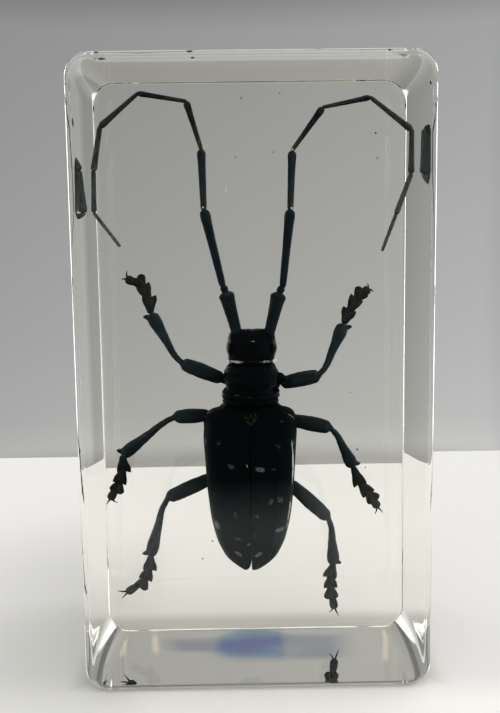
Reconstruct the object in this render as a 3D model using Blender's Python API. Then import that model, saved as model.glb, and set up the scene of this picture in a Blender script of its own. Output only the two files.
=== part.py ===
"""A longhorn beetle cast in a clear resin block that stands on its short end.

The origin is the bottom centre of the block: +X is the block's width, +Y its thickness, +Z up.
The beetle's back faces -Y. Places on the beetle are in millimetres from that origin.
"""

import math

import bmesh
import bpy
from mathutils import Matrix, Vector

MM = 0.001

# Resin block: two halves that meet, but for a hair, on the plane y = 0 through the specimen.
BLOCK_WIDTH = 40.5 * MM
BLOCK_DEPTH = 26.0 * MM
BLOCK_HEIGHT = 73.0 * MM
CORNER_RADIUS = 2.7 * MM
EDGE_RADIUS = 1.0 * MM
CORNER_STEPS = 4
EDGE_STEPS = 2
PARTING_GAP = 0.3 * MM
POCKET_CLEARANCE = 0.32

# Beetle: the body's centre line leans a little to the left towards the tail.
NECK_X, TAIL_X = -0.2, -0.6
NECK_Z, LEAN_END_Z = 42.0, 28.0

# Stations down the body: height z, half width, back (dorsal) y, underside (ventral) y.
HEAD_STATIONS = (
    (42.0, 2.35, -2.6, 2.4),
    (41.5, 2.75, -3.4, 3.0),
    (40.4, 2.90, -3.9, 3.2),
    (38.9, 2.90, -4.0, 3.0),
    (38.1, 2.75, -3.8, 2.7),
    (37.0, 2.50, -3.5, 2.4),
)
PRONOTUM_STATIONS = (
    (37.7, 2.90, -4.0, 2.6),
    (37.2, 3.08, -4.5, 2.9),
    (36.3, 3.15, -4.8, 3.1),
    (35.4, 3.22, -4.9, 3.1),
    (34.7, 3.08, -4.5, 3.0),
    (34.3, 3.38, -4.5, 2.9),
    (33.2, 3.40, -4.4, 2.8),
    (32.4, 3.20, -4.2, 2.7),
)
TRUNK_STATIONS = (
    (33.4, 2.6, -3.4, 2.6),
    (31.6, 4.3, -3.2, 3.4),
    (28.8, 4.9, -3.2, 3.9),
    (25.0, 4.7, -3.2, 3.7),
    (20.4, 4.4, -3.0, 2.9),
    (16.6, 3.7, -2.6, 2.0),
    (14.2, 2.6, -2.2, 1.1),
    (12.9, 1.3, -1.9, 0.2),
)
# Stations down an elytron: height z, width from the suture, y of the back, y of the side margin.
ELYTRON_STATIONS = (
    (32.7, 3.10, -3.5, -1.9),
    (32.2, 4.60, -4.4, -1.7),
    (31.3, 5.45, -4.9, -1.5),
    (29.8, 5.62, -5.2, -1.3),
    (26.0, 5.48, -5.4, -1.1),
    (21.5, 5.18, -5.3, -1.0),
    (17.6, 4.62, -4.9, -0.9),
    (14.9, 3.75, -4.2, -0.9),
    (13.2, 2.65, -3.5, -0.9),
    (12.3, 1.50, -2.9, -1.0),
    (11.9, 0.75, -2.4, -1.2),
)
SUTURE_OVERLAP = 0.12
ROUND_SQUARENESS = 2.3
ELYTRON_SQUARENESS = 2.5

SPINE = dict(root_x=2.3, tip_x=4.15, y=-1.4, root_z=35.8, tip_z=35.4)
SPINE_SHAPE = ((0.0, 1.25), (0.6, 0.62), (1.0, 0.14))
EYE = dict(x=2.25, y=-1.4, z=39.6, size=(1.9, 3.6, 2.6))
SCUTELLUM = dict(y=-4.75, z=31.6, size=(1.5, 0.7, 2.0))
MANDIBLE = dict(x=0.95, z=41.0, root_y=2.4, tip_y=4.6)
MANDIBLE_SHAPE = ((0.0, 0.9), (0.6, 0.6), (1.0, 0.15))

# Antenna joints from the socket to the tip; each segment swells towards its far end.
ANTENNA_JOINTS = {
    "left": (
        (-2.1, -2.5, 41.2), (-3.4, -2.8, 46.5), (-3.6, -2.8, 47.1), (-5.7, -2.0, 56.1),
        (-5.9, -1.0, 63.1), (-7.6, 0.5, 68.7), (-13.4, 3.0, 69.9), (-18.1, 5.5, 66.1),
        (-19.0, 6.5, 60.9), (-19.1, 6.5, 55.8), (-16.2, 6.0, 51.7),
    ),
    "right": (
        (2.1, -2.5, 41.2), (3.2, -2.8, 46.3), (3.5, -2.8, 46.9), (4.5, -2.0, 56.0),
        (4.8, -1.0, 62.8), (8.5, 0.0, 67.8), (14.2, 1.5, 69.0), (19.1, 3.0, 65.3),
        (19.1, 3.5, 60.1), (17.5, 3.5, 55.2), (15.8, 3.0, 50.8),
    ),
}
ANTENNA_RADII = (
    (0.50, 0.85), (0.42, 0.50), (0.42, 0.62), (0.38, 0.50), (0.26, 0.42),
    (0.24, 0.34), (0.24, 0.38), (0.26, 0.36), (0.24, 0.27), (0.24, 0.20),
)
SEGMENT_SHAPE = ((0.0, 0.9), (0.88, 1.0), (1.0, 0.75))

# Leg joints. "lobes" are the middles of the three lobed foot joints' far ends.
LEGS = {
    "left_fore": dict(
        hip=(-2.0, 1.2, 35.3), trochanter=(-3.7, 0.6, 35.5),
        knee=(-8.6, -0.5, 37.6), ankle=(-12.5, 2.5, 43.5),
        lobes=((-12.7, 3.1, 45.3), (-13.3, 3.8, 46.7), (-13.7, 4.2, 47.6)),
        claw_end=(-15.7, 5.0, 47.8), claws=((-15.5, 5.4, 48.8), (-16.3, 5.4, 47.7)),
    ),
    "right_fore": dict(
        hip=(1.6, 1.2, 34.9), trochanter=(3.2, 0.6, 34.9),
        knee=(7.8, -0.5, 35.9), ankle=(11.1, 2.5, 41.9),
        lobes=((11.8, 3.1, 43.4), (12.7, 3.8, 44.8), (13.5, 4.2, 45.8)),
        claw_end=(14.5, 5.0, 46.2), claws=((14.3, 5.4, 46.8), (15.1, 5.4, 45.7)),
    ),
    "left_mid": dict(
        hip=(-2.9, 2.4, 29.9), trochanter=(-5.4, 1.2, 31.0),
        knee=(-9.7, 0.0, 31.0), ankle=(-16.5, 4.5, 26.0),
        lobes=((-16.8, 5.1, 23.6), (-17.5, 5.8, 22.0), (-17.9, 6.2, 20.8)),
        claw_end=(-18.7, 7.0, 19.3), claws=((-19.2, 7.4, 18.6), (-17.7, 7.4, 18.8)),
    ),
    "right_mid": dict(
        hip=(1.8, 2.4, 29.6), trochanter=(4.3, 1.2, 30.3),
        knee=(9.2, 0.0, 29.4), ankle=(12.4, 4.5, 23.7),
        lobes=((13.3, 5.1, 21.4), (14.4, 5.8, 20.0), (15.2, 6.2, 19.0)),
        claw_end=(15.9, 7.0, 17.7), claws=((15.5, 7.4, 16.7), (16.6, 7.4, 16.9)),
    ),
    "left_hind": dict(
        hip=(-2.8, 2.8, 24.6), trochanter=(-5.2, 1.9, 23.0),
        knee=(-10.8, 1.0, 20.7), ankle=(-13.6, 7.0, 11.9),
        lobes=((-13.9, 7.6, 10.0), (-14.6, 8.3, 8.4), (-15.0, 8.8, 7.3)),
        claw_end=(-17.1, 9.8, 6.1), claws=((-18.4, 10.2, 6.3), (-17.8, 10.2, 5.2)),
    ),
    "right_hind": dict(
        hip=(1.9, 2.8, 24.3), trochanter=(4.2, 1.9, 22.2),
        knee=(9.0, 1.0, 17.8), ankle=(10.1, 7.0, 10.4),
        lobes=((9.7, 7.6, 8.6), (9.8, 8.3, 7.0), (9.9, 8.8, 5.4)),
        claw_end=(10.4, 9.8, 3.4), claws=((9.7, 10.2, 2.8), (11.0, 10.2, 2.3)),
    ),
}
HIP_SHAPE = ((0.0, 0.95), (0.5, 0.85), (1.15, 0.5))
FEMUR_SHAPE = ((0.0, 0.45), (0.25, 0.78), (0.55, 0.92), (0.82, 0.80), (1.0, 0.45))
TIBIA_SHAPE = ((0.0, 0.34), (0.45, 0.50), (0.88, 0.78), (1.0, 0.58))
FOOT_RADIUS = 0.36
CLAW_JOINT_SHAPE = ((0.0, 0.18), (0.7, 0.36), (1.0, 0.24))
CLAW_SHAPE = ((0.0, 0.18), (1.0, 0.05))
# Each foot joint is two flat lobes that part from its root.
LOBE_LENGTH = 1.35
LOBE_SPREAD = 0.62
LOBE_WIDTH = 0.85
LOBE_THICKNESS = 0.5

# Stations of the room left for the body, as round as the body but simpler.
HEAD_POCKET = (
    (42.0, 3.4, -4.3, 4.9),
    (38.0, 3.6, -4.6, 4.9),
    (36.0, 4.0, -5.2, 3.6),
)
TRUNK_POCKET = (
    (37.0, 4.0, -5.3, 3.6),
    (33.2, 4.2, -5.3, 3.6),
    (31.0, 6.1, -5.6, 4.4),
    (26.0, 6.1, -5.9, 4.4),
    (19.0, 5.5, -5.7, 3.2),
    (14.6, 4.2, -4.8, 1.6),
    (11.9, 1.6, -3.2, 0.0),
)
THIGH_POCKET_RADIUS = 0.95
SHIN_POCKET_RADIUS = 0.80
FOOT_POCKET_RADIUS = 1.15
CLAW_POCKET_RADIUS = 0.75


def axis_x(z):
    """The x of the body's centre line at a height."""
    share = min(max((NECK_Z - z) / (NECK_Z - LEAN_END_Z), 0.0), 1.0)
    return NECK_X + (TAIL_X - NECK_X) * share


def clear_scene():
    for obj in list(bpy.data.objects):
        bpy.data.objects.remove(obj, do_unlink=True)


def collection(name):
    made = bpy.data.collections.new(name)
    bpy.context.scene.collection.children.link(made)
    return made


def material(name, colour, roughness, transmission=0.0):
    made = bpy.data.materials.new(name)
    made.use_nodes = True
    shader = made.node_tree.nodes["Principled BSDF"]
    shader.inputs["Base Color"].default_value = (*colour, 1.0)
    shader.inputs["Roughness"].default_value = roughness
    shader.inputs["Metallic"].default_value = 0.0
    shader.inputs["Transmission Weight"].default_value = transmission
    return made


def add_mesh(name, bm, group):
    """An object in the group, holding the bmesh with its faces pointing out."""
    bmesh.ops.recalc_face_normals(bm, faces=bm.faces)
    mesh = bpy.data.meshes.new(name)
    bm.to_mesh(mesh)
    bm.free()
    obj = bpy.data.objects.new(name, mesh)
    group.objects.link(obj)
    return obj


def loft(name, rings, group):
    """A closed skin over rings of equally many points, with a flat cap at each end."""
    bm = bmesh.new()
    loops = [[bm.verts.new(Vector(point) * MM) for point in ring] for ring in rings]
    for upper, lower in zip(loops, loops[1:]):
        count = len(upper)
        for i in range(count):
            j = (i + 1) % count
            bm.faces.new((upper[i], upper[j], lower[j], lower[i]))
    bm.faces.new(loops[0])
    bm.faces.new(loops[-1])
    return add_mesh(name, bm, group)


def power(value, exponent):
    return math.copysign(abs(value) ** exponent, value)


def round_ring(station, sides, grow=0.0):
    """A level superellipse ring of the body at one station."""
    z, half_width, back, underside = station
    middle = (back + underside) / 2
    depth = (underside - back) / 2 + grow
    ring = []
    for i in range(sides):
        angle = 2 * math.pi * (i + 0.5) / sides
        x = (half_width + grow) * power(math.cos(angle), 2 / ROUND_SQUARENESS)
        y = depth * power(math.sin(angle), 2 / ROUND_SQUARENESS)
        ring.append((axis_x(z) + x, middle + y, z))
    return ring


def elytron_ring(station, side, steps=7):
    """The vaulted section of one elytron: over the back from suture to margin, then flat underneath."""
    z, width, back, margin = station
    suture_x = axis_x(z) - side * SUTURE_OVERLAP
    reach = width + SUTURE_OVERLAP
    ring = []
    for i in range(steps):
        angle = math.pi / 2 * i / (steps - 1)
        x = reach * power(math.sin(angle), 2 / ELYTRON_SQUARENESS)
        y = margin - (margin - back) * power(math.cos(angle), 2 / ELYTRON_SQUARENESS)
        ring.append((suture_x + side * x, y, z))
    ring.append((suture_x, margin, z))
    return ring


def tube(name, points, group, bevel_resolution=1):
    """A mesh tube with filled caps through (place, radius) points in millimetres."""
    curve = bpy.data.curves.new(name, "CURVE")
    curve.dimensions = "3D"
    curve.bevel_depth = MM
    curve.bevel_resolution = bevel_resolution
    curve.use_fill_caps = True
    spline = curve.splines.new("POLY")
    spline.points.add(len(points) - 1)
    for point, (place, radius) in zip(spline.points, points):
        point.co = (*(Vector(place) * MM), 1.0)
        point.radius = radius
    guide = bpy.data.objects.new(name + "_path", curve)
    group.objects.link(guide)
    bpy.context.view_layer.update()
    evaluated = guide.evaluated_get(bpy.context.evaluated_depsgraph_get())
    mesh = bpy.data.meshes.new_from_object(evaluated)
    bpy.data.objects.remove(guide)
    bm = bmesh.new()
    bm.from_mesh(mesh)
    bpy.data.meshes.remove(mesh)
    bmesh.ops.remove_doubles(bm, verts=bm.verts, dist=1e-6)
    return add_mesh(name, bm, group)


def limb(name, start, end, shape, group, bevel_resolution=1):
    """A straight tapered limb: shape gives (share of the length, radius) pairs."""
    start, end = Vector(start), Vector(end)
    points = [(start.lerp(end, share), radius) for share, radius in shape]
    return tube(name, points, group, bevel_resolution)


def ellipsoid(name, centre, size, group, along=(0, 0, 1), across=(1, 0, 0), segments=6, rings=4):
    """A ball stretched to size = (across, deep, along) millimetres."""
    w = Vector(along).normalized()
    u = (Vector(across) - Vector(across).project(w)).normalized()
    v = w.cross(u)
    turn = Matrix((u, v, w)).transposed().to_4x4()
    stretch = Matrix.Diagonal((*(0.5 * MM * s for s in size), 1.0))
    bm = bmesh.new()
    bmesh.ops.create_uvsphere(bm, u_segments=segments, v_segments=rings, radius=1.0)
    bm.transform(Matrix.Translation(Vector(centre) * MM) @ turn @ stretch)
    return add_mesh(name, bm, group)


def make_body(group):
    """The trunk under the elytra, which the other body pieces are joined to."""
    return loft("beetle", [round_ring(station, 16) for station in TRUNK_STATIONS], group)


def make_head(group):
    loft("head", [round_ring(station, 14) for station in HEAD_STATIONS], group)
    for name, side in (("left", -1), ("right", 1)):
        x = axis_x(EYE["z"]) + side * EYE["x"]
        ellipsoid(name + "_eye", (x, EYE["y"], EYE["z"]), EYE["size"], group, rings=5)
        x = axis_x(MANDIBLE["z"]) + side * MANDIBLE["x"]
        root = (x, MANDIBLE["root_y"], MANDIBLE["z"])
        tip = (x - side * 0.6, MANDIBLE["tip_y"], MANDIBLE["z"] - 0.3)
        limb(name + "_mandible", root, tip, MANDIBLE_SHAPE, group)


def make_pronotum(group):
    loft("pronotum", [round_ring(station, 16) for station in PRONOTUM_STATIONS], group)
    for name, side in (("left", -1), ("right", 1)):
        root = (side * SPINE["root_x"], SPINE["y"], SPINE["root_z"])
        tip = (side * SPINE["tip_x"], SPINE["y"], SPINE["tip_z"])
        limb(name + "_spine", root, tip, SPINE_SHAPE, group)


def make_elytra(group):
    for name, side in (("left", -1), ("right", 1)):
        loft(name + "_elytron", [elytron_ring(station, side) for station in ELYTRON_STATIONS], group)
    place = (axis_x(SCUTELLUM["z"]), SCUTELLUM["y"], SCUTELLUM["z"])
    ellipsoid("scutellum", place, SCUTELLUM["size"], group)


def make_antenna(side, group):
    joints = ANTENNA_JOINTS[side]
    for i, (slim, thick) in enumerate(ANTENNA_RADII):
        shape = [(share, (slim + (thick - slim) * share) * swell) for share, swell in SEGMENT_SHAPE]
        start, end = Vector(joints[i]), Vector(joints[i + 1])
        start -= (end - start).normalized() * slim * 0.5
        limb(f"{side}_antenna_{i}", start, end, shape, group)


def make_leg(name, leg, group):
    """Hip, femur, tibia, three lobed foot joints, claw joint and two claws."""
    limb(name + "_hip", leg["hip"], leg["trochanter"], HIP_SHAPE, group)
    limb(name + "_femur", leg["trochanter"], leg["knee"], FEMUR_SHAPE, group)
    limb(name + "_tibia", leg["knee"], leg["ankle"], TIBIA_SHAPE, group)
    start = Vector(leg["ankle"])
    for i, place in enumerate(leg["lobes"]):
        end = Vector(place)
        along = (end - start).normalized()
        across = along.cross(Vector((0, 1, 0))).normalized()
        root = end - along * LOBE_LENGTH
        for j, side in enumerate((-1, 1)):
            tip = end + across * side * LOBE_SPREAD
            size = (LOBE_WIDTH, LOBE_THICKNESS, (tip - root).length * 1.05)
            ellipsoid(f"{name}_lobe_{i}{j}", (root + tip) / 2, size, group, tip - root, across, segments=5)
        foot = ((0.0, FOOT_RADIUS), (1.0, FOOT_RADIUS))
        limb(f"{name}_foot_{i}", start, end - along * LOBE_LENGTH / 3, foot, group, bevel_resolution=0)
        start = end - along * LOBE_LENGTH / 2
    limb(name + "_claw_joint", start, leg["claw_end"], CLAW_JOINT_SHAPE, group, bevel_resolution=0)
    for i, tip in enumerate(leg["claws"]):
        root = Vector(leg["claw_end"]).lerp(start, 0.15)
        limb(f"{name}_claw_{i}", root, tip, CLAW_SHAPE, group, bevel_resolution=0)


def make_beetle(group, joined_pieces):
    """One solid: every piece joined to the trunk by a Boolean union."""
    beetle = make_body(group)
    make_head(joined_pieces)
    make_pronotum(joined_pieces)
    make_elytra(joined_pieces)
    for side in ANTENNA_JOINTS:
        make_antenna(side, joined_pieces)
    for name, leg in LEGS.items():
        make_leg(name, leg, joined_pieces)
    join = beetle.modifiers.new("Join", "BOOLEAN")
    join.operation = "UNION"
    join.operand_type = "COLLECTION"
    join.collection = joined_pieces
    beetle.data.materials.append(material("black_chitin", (0.012, 0.014, 0.018), 0.35))
    return beetle


def pocket_run(name, start, end, radius, group):
    """A square bore round a limb, longer than it by the clearance at each end."""
    start, end = Vector(start), Vector(end)
    spare = (end - start).normalized() * (POCKET_CLEARANCE + radius / 3)
    bore = (radius + POCKET_CLEARANCE) * math.sqrt(2)
    tube(name, ((start - spare, bore), (end + spare, bore)), group, bevel_resolution=0)


def pocket_rings(stations, sides):
    """Body rings grown by the clearance, with one more beyond each end."""
    grow = POCKET_CLEARANCE + 0.25
    first, last = stations[0], stations[-1]
    longer = ((first[0] + grow, *first[1:]), *stations, (last[0] - grow, *last[1:]))
    return [round_ring(station, sides, grow) for station in longer]


def make_pocket(group):
    """Simple shapes that hold the beetle with clearance, cut from both halves of the block."""
    loft("head_pocket", pocket_rings(HEAD_POCKET, 8), group)
    loft("trunk_pocket", pocket_rings(TRUNK_POCKET, 10), group)
    for side, joints in ANTENNA_JOINTS.items():
        for i, (start, end) in enumerate(zip(joints, joints[1:])):
            pocket_run(f"{side}_antenna_pocket_{i}", start, end, max(ANTENNA_RADII[i]), group)
    for name, leg in LEGS.items():
        claws = sum((Vector(tip) for tip in leg["claws"]), Vector()) / len(leg["claws"])
        pocket_run(name + "_thigh_pocket", leg["hip"], leg["knee"], THIGH_POCKET_RADIUS, group)
        pocket_run(name + "_shin_pocket", leg["knee"], leg["ankle"], SHIN_POCKET_RADIUS, group)
        pocket_run(name + "_foot_pocket", leg["ankle"], leg["lobes"][2], FOOT_POCKET_RADIUS, group)
        pocket_run(name + "_claw_pocket", leg["lobes"][2], claws, CLAW_POCKET_RADIUS, group)


def block_ring(y, inset):
    """The block's outline with round corners, drawn in by the inset, at a place y through its thickness."""
    radius = CORNER_RADIUS - inset
    reach_x = BLOCK_WIDTH / 2 - CORNER_RADIUS
    reach_z = BLOCK_HEIGHT / 2 - CORNER_RADIUS
    ring = []
    for quarter, (side_x, side_z) in enumerate(((1, 1), (-1, 1), (-1, -1), (1, -1))):
        for step in range(CORNER_STEPS + 1):
            angle = math.pi / 2 * (quarter + step / CORNER_STEPS)
            x = side_x * reach_x + radius * math.cos(angle)
            z = BLOCK_HEIGHT / 2 + side_z * reach_z + radius * math.sin(angle)
            ring.append((x / MM, y / MM, z / MM))
    return ring


def make_half(name, side, group, pocket, resin):
    """The half of the block on one side (-1 front, 1 back) of the parting, with its side of the pocket."""
    rings = [block_ring(side * PARTING_GAP / 2, 0.0)]
    for step in range(EDGE_STEPS + 1):
        angle = math.pi / 2 * step / EDGE_STEPS
        y = side * (BLOCK_DEPTH / 2 - EDGE_RADIUS * (1 - math.sin(angle)))
        rings.append(block_ring(y, EDGE_RADIUS * (1 - math.cos(angle))))
    half = loft(name, rings, group)
    cut = half.modifiers.new("Pocket", "BOOLEAN")
    cut.operation = "DIFFERENCE"
    cut.operand_type = "COLLECTION"
    cut.collection = pocket
    half.data.materials.append(resin)
    return half


def hide_helpers(group):
    for obj in group.objects:
        obj.hide_render = True
        obj.display_type = "WIRE"


def main():
    clear_scene()
    specimen = collection("beetle_in_resin")
    joined_pieces = collection("joined_pieces")
    pocket = collection("pocket_cutters")
    make_beetle(specimen, joined_pieces)
    make_pocket(pocket)
    resin = material("clear_resin", (0.98, 0.98, 0.95), 0.03, transmission=1.0)
    make_half("resin_front", -1, specimen, pocket, resin)
    make_half("resin_back", 1, specimen, pocket, resin)
    hide_helpers(joined_pieces)
    hide_helpers(pocket)


main()
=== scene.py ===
"""Looks of a longhorn beetle cast in a clear resin block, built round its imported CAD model.

Places on the beetle and the block are in millimetres from the bottom centre of the block: +X is its
width, +Y its thickness, +Z up. The beetle's back faces -Y, towards the camera.
"""

import math

import bpy
import numpy as np
from mathutils import Matrix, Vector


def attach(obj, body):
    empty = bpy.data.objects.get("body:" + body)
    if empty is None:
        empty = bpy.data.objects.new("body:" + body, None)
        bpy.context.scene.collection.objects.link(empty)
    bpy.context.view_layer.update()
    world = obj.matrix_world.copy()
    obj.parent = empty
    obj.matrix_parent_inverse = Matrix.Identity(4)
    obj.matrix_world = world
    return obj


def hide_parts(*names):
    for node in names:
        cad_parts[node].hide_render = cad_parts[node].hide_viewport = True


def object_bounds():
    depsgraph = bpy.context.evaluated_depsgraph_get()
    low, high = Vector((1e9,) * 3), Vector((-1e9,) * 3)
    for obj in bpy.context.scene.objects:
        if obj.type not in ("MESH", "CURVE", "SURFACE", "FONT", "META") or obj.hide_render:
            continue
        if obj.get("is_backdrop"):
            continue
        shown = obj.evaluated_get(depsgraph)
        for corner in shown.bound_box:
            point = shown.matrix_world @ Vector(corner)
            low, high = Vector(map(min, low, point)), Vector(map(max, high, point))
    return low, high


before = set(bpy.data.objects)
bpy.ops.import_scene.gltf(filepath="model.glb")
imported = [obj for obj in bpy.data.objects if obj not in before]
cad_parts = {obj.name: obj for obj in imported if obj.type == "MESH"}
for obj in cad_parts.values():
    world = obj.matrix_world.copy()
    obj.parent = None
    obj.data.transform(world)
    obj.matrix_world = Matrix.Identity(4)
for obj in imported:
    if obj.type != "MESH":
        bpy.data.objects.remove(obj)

cad_low, cad_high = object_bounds()

# Trunk and abdomen
# The body under the wing cases: hard black plates, those of the abdomen lapping like tiles on the
# underside. The dried beetle is held by nothing but the resin poured round it.
MM = 0.001
NECK_X, TAIL_X = -0.2, -0.6
NECK_Z, LEAN_END_Z = 42.0, 28.0
BODY_SQUARENESS = 2.3
# Height z, half width, y of the back, y of the underside.
TRUNK_STATIONS = (
    (33.4, 2.6, -3.4, 2.6),
    (31.6, 4.3, -3.2, 3.4),
    (28.8, 4.9, -3.2, 3.9),
    (25.0, 4.7, -3.2, 3.7),
    (20.4, 4.4, -3.0, 2.9),
    (16.6, 3.7, -2.6, 2.0),
    (14.2, 2.6, -2.2, 1.1),
    (12.9, 1.3, -1.9, 0.2),
)
TRUNK_ROUNDING = 0.04
PLATE_EDGES = (24.2, 21.6, 19.4, 17.4, 15.6)
PLATE_STEP = 0.16
PLATE_LENGTH = 1.6
BREAST_GROOVE = dict(depth=0.16, half_width=0.18, bottom=24.6)


def centre_x(z):
    """The body's centre line: a straight lean from the neck's x to the tail's x, then upright."""
    share = np.clip((NECK_Z - z) / (NECK_Z - LEAN_END_Z), 0.0, 1.0)
    return NECK_X + (TAIL_X - NECK_X) * share


def through(stations, share):
    """Cubic Hermite curve through the rows, evenly spread over 0 to 1 by their first column's steps.

    Each slope is the mean of the steps on its two sides.
    """
    rows = np.asarray(stations, float)
    knots = (rows[:, 0] - rows[0, 0]) / (rows[-1, 0] - rows[0, 0])
    slopes = np.gradient(rows, knots, axis=0)
    i = np.clip(np.searchsorted(knots, share) - 1, 0, len(knots) - 2)
    step = (knots[i + 1] - knots[i])[:, None]
    t = (share - knots[i])[:, None] / step
    from_left = (1 + 2 * t) * (1 - t) ** 2 * rows[i] + t * (1 - t) ** 2 * step * slopes[i]
    from_right = t * t * (3 - 2 * t) * rows[i + 1] + t * t * (t - 1) * step * slopes[i + 1]
    return from_left + from_right


def rounding(share, start, end):
    """Rises from 0 to 1 as a quarter circle over the start, and falls back so over the end."""
    rise = np.clip(share / start, 0.0, 1.0)
    fall = np.clip((1 - share) / end, 0.0, 1.0)
    return np.sqrt(1 - (1 - rise) ** 2) * np.sqrt(1 - (1 - fall) ** 2)


def power(value, exponent):
    """The value's size raised to the exponent, with its own sign."""
    return np.sign(value) * np.abs(value) ** exponent


def body_grid(stations, rows, columns, round_start, round_end):
    """Level superellipse rings down the body, drawn in at both ends as quarter circles."""
    share = (1 - np.cos(np.linspace(0, np.pi, rows))) / 2
    z, half_width, back, underside = through(stations, share).T
    ease = rounding(share, round_start, round_end)
    turn = 2 * np.pi * (np.arange(columns) + 0.5) / columns
    x = centre_x(z)[:, None] + (half_width * ease)[:, None] * power(np.cos(turn), 2 / BODY_SQUARENESS)
    middle, deep = (back + underside) / 2, (underside - back) / 2 * ease
    y = middle[:, None] + deep[:, None] * power(np.sin(turn), 2 / BODY_SQUARENESS)
    return np.stack([x, y, np.repeat(z[:, None], columns, axis=1)], axis=-1)


def unit(vector):
    """A vector, or each row of a list of them, at length 1."""
    return vector / np.linalg.norm(vector, axis=-1, keepdims=True)


def outward(grid):
    """Unit normals of a grid that closes round its columns: the cross product of its two directions."""
    around = np.roll(grid, -1, axis=1) - np.roll(grid, 1, axis=1)
    normal = np.cross(around, np.gradient(grid, axis=0))
    normal /= np.maximum(np.linalg.norm(normal, axis=-1, keepdims=True), 1e-9)
    away = grid - grid.mean(axis=1, keepdims=True)
    return normal * np.sign((normal * away).sum())


def push(grid, height):
    """Each point moved along its normal by the height."""
    return grid + outward(grid) * height[..., None]


def bump(distance, reach):
    """A bell: 1 at no distance, falling as the exponential of the squared distance over the reach."""
    return np.exp(-((distance / reach) ** 2))


def waves(grid, length, seed):
    """Smooth unevenness from about -1 to 1: the mean of sines in eight random directions."""
    random = np.random.default_rng(seed)
    directions = random.normal(size=(8, 3)) * 2 * np.pi / length
    phases = random.uniform(0, 2 * np.pi, 8)
    return np.sin(grid @ directions.T + phases).mean(axis=-1) * 1.8


def pits(u, v, spacing, seed):
    """Scattered round pits, 1 deep: one at a random place in each cell of a square net over u, v."""
    depth = np.zeros(np.broadcast(u, v).shape)
    cell_u, cell_v = np.floor(u / spacing), np.floor(v / spacing)
    for step_u in (-1, 0, 1):
        for step_v in (-1, 0, 1):
            a, b = cell_u + step_u, cell_v + step_v
            jitter_u = np.modf(np.abs(np.sin(a * 12.99 + b * 78.23 + seed) * 43758.5))[0]
            jitter_v = np.modf(np.abs(np.sin(a * 39.35 + b * 11.14 + seed) * 24634.6))[0]
            off_u = u / spacing - a - 0.2 - 0.6 * jitter_u
            off_v = v / spacing - b - 0.2 - 0.6 * jitter_v
            depth = np.maximum(depth, bump(np.hypot(off_u, off_v), 0.3))
    return depth


def skin(grid, **marks):
    """A closed skin over a grid, with marks that hold a value for each of its points.

    Quads lie between rows, round from the last column to the first, and a fan to a pole shuts each end.
    """
    rows, columns = grid.shape[:2]
    points = np.vstack([grid.reshape(-1, 3), grid[0].mean(axis=0), grid[-1].mean(axis=0)])
    row, column = np.meshgrid(np.arange(rows - 1), np.arange(columns), indexing="ij")
    beside = (column + 1) % columns
    corners = (row, column), (row, beside), (row + 1, beside), (row + 1, column)
    quads = np.stack([a * columns + b for a, b in corners], axis=-1).reshape(-1, 4)
    ring, next_ring = np.arange(columns), (np.arange(columns) + 1) % columns
    top = np.stack([np.full(columns, rows * columns), next_ring, ring], axis=-1)
    end = (rows - 1) * columns
    bottom = np.stack([np.full(columns, rows * columns + 1), end + ring, end + next_ring], axis=-1)
    fans = np.vstack([top, bottom])
    triangles = np.vstack([quads[:, [0, 1, 2]], quads[:, [0, 2, 3]], fans])
    a, b, c = (points[triangles[:, i]] for i in range(3))
    if (a * np.cross(b, c)).sum() < 0:
        quads, fans = quads[:, ::-1], fans[:, ::-1]
    values = {}
    for mark, value in marks.items():
        value = np.broadcast_to(value, (rows, columns))
        values[mark] = np.concatenate([value.ravel(), [value[0].mean(), value[-1].mean()]])
    return points, quads, fans, values


def piece(name, skins, material, replaces=("beetle",)):
    """One object from closed skins, with its place in its mesh, riding on the part's only body.

    It takes the place of the CAD nodes that it replaces.
    """
    points, faces, start = [], [], 0
    for skin_points, quads, fans, _ in skins:
        points.append(skin_points)
        faces += (quads + start).tolist() + (fans + start).tolist()
        start += len(skin_points)
    mesh = bpy.data.meshes.new(name)
    mesh.from_pydata(np.vstack(points) * MM, [], faces)
    mesh.shade_smooth()
    for mark in sorted({key for made in skins for key in made[3]}):
        layer = mesh.attributes.new(mark, "FLOAT", "POINT")
        values = [made[3].get(mark, np.zeros(len(made[0]))) for made in skins]
        layer.data.foreach_set("value", np.concatenate(values).astype(np.float32))
    mesh.materials.append(material)
    obj = bpy.data.objects.new(name, mesh)
    bpy.context.scene.collection.objects.link(obj)
    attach(obj, "root")
    if replaces:
        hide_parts(*replaces)


def node(tree, kind, links=(), **settings):
    """A shader node: settings whose names are sockets set them, the rest are its own properties.

    Links are (socket, output) pairs that feed it.
    """
    made = tree.nodes.new(kind)
    for key, value in settings.items():
        if hasattr(made, key):
            setattr(made, key, value)
        else:
            made.inputs[key.replace("_", " ")].default_value = value
    for socket, output in links:
        tree.links.new(output, made.inputs[socket])
    return made


def maths(tree, operation, *values):
    """The result of a Math node. Its values are fixed numbers or outputs."""
    made = node(tree, "ShaderNodeMath", operation=operation)
    for index, value in enumerate(values):
        if isinstance(value, float):
            made.inputs[index].default_value = value
        else:
            tree.links.new(value, made.inputs[index])
    return made.outputs[0]


def between(tree, value, low, high, start=0.0, end=1.0, curve="LINEAR"):
    """The value's stretch from low to high mapped onto start to end, and held at them beyond it."""
    made = node(tree, "ShaderNodeMapRange", [("Value", value)], interpolation_type=curve)
    for socket, number in zip(("From Min", "From Max", "To Min", "To Max"), (low, high, start, end)):
        made.inputs[socket].default_value = number
    return made.outputs[0]


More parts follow.
